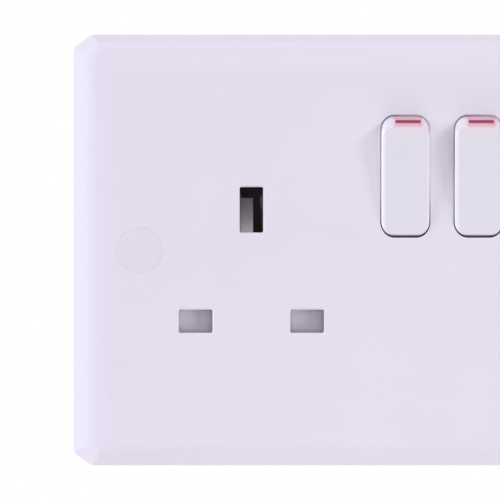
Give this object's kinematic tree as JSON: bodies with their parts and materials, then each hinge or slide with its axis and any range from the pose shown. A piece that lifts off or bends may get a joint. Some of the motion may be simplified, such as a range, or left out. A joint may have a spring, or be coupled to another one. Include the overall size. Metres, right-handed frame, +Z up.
{
  "type": "uk twin socket",
  "caption": "Flush wall plate with a pair of shuttered three-pin socket outlets and rocker switches, with a moulded rear housing and screw terminals.",
  "frame": {"origin": "middle of the plate on the wall plane, behind its rim", "axes": "X to the right seen from the front, Y into the wall, Z up"},
  "size_m": [0.147, 0.0329, 0.086],
  "materials": {
    "white_moulding": "glossy white urea moulding",
    "red_marker": "red moulded insert",
    "shutter_nylon": "off-white nylon",
    "housing_moulding": "black moulding",
    "brass_strip": "pressed brass",
    "bronze_spring": "spring bronze",
    "brass_screw": "turned brass",
    "contact_silver": "silver contact tip",
    "plated_steel": "zinc plated",
    "spring_steel": "drawn wire"
  },
  "bodies": {
    "base": {"front_plate": "white_moulding", "rear_housing": "housing_moulding", "housing_screws": "plated_steel", "fixing_screws": "plated_steel", "live_feed": "brass_strip", "neutral_strip": "brass_strip", "earth_strip": "brass_strip", "fixed_tips": "contact_silver", "terminal_screws": "brass_screw", "neutral_terminal": "brass_strip", "live_terminal": "brass_strip", "earth_terminal": "brass_strip", "shutter_spring_left": "spring_steel", "live_strip_left": "brass_strip", "live_clip_left": "bronze_spring", "neutral_clip_left": "bronze_spring", "earth_clip_left": "bronze_spring", "screw_cap_left": "white_moulding", "shutter_spring_right": "spring_steel", "live_strip_right": "brass_strip", "live_clip_right": "bronze_spring", "neutral_clip_right": "bronze_spring", "earth_clip_right": "bronze_spring", "screw_cap_right": "white_moulding"},
    "rocker_left": {"rocker_left": "white_moulding", "on_marker_left": "red_marker", "plunger_left": "shutter_nylon", "plunger_spring_left": "spring_steel"},
    "seesaw_left": {"moving_contact_left": "brass_strip", "moving_tip_left": "contact_silver"},
    "shutter_left": {"shutter_left": "shutter_nylon"},
    "rocker_right": {"rocker_right": "white_moulding", "on_marker_right": "red_marker", "plunger_right": "shutter_nylon", "plunger_spring_right": "spring_steel"},
    "seesaw_right": {"moving_contact_right": "brass_strip", "moving_tip_right": "contact_silver"},
    "shutter_right": {"shutter_right": "shutter_nylon"}
  },
  "joints": [
    {"name": "rocker_left_tilt", "type": "hinge", "parent": "base", "child": "rocker_left", "pos_m": [-0.0073, -0.0035, 0.01475], "axis": [1, 0, 0], "range_deg": [-14, 0]},
    {"name": "seesaw_left_rock", "type": "hinge", "parent": "base", "child": "seesaw_left", "pos_m": [-0.0073, 0.0075, 0.01475], "axis": [1, 0, 0], "range_deg": [0, 12]},
    {"name": "shutter_left_drop", "type": "slide", "parent": "base", "child": "shutter_left", "axis": [0, 0, -1], "range_m": [0, 0.0057], "stiffness_N_per_m": 120, "springref_m": -0.004, "deforming": ["shutter_spring_left"]},
    {"name": "rocker_right_tilt", "type": "hinge", "parent": "base", "child": "rocker_right", "pos_m": [0.0073, -0.0035, 0.01475], "axis": [1, 0, 0], "range_deg": [-14, 0]},
    {"name": "seesaw_right_rock", "type": "hinge", "parent": "base", "child": "seesaw_right", "pos_m": [0.0073, 0.0075, 0.01475], "axis": [1, 0, 0], "range_deg": [0, 12]},
    {"name": "shutter_right_drop", "type": "slide", "parent": "base", "child": "shutter_right", "axis": [0, 0, -1], "range_m": [0, 0.0057], "stiffness_N_per_m": 120, "springref_m": -0.004, "deforming": ["shutter_spring_right"]}
  ],
  "couplings": [
    {"joint": "seesaw_left_rock", "follows": "rocker_left_tilt", "ratio": -0.85714},
    {"joint": "seesaw_right_rock", "follows": "rocker_right_tilt", "ratio": -0.85714}
  ]
}
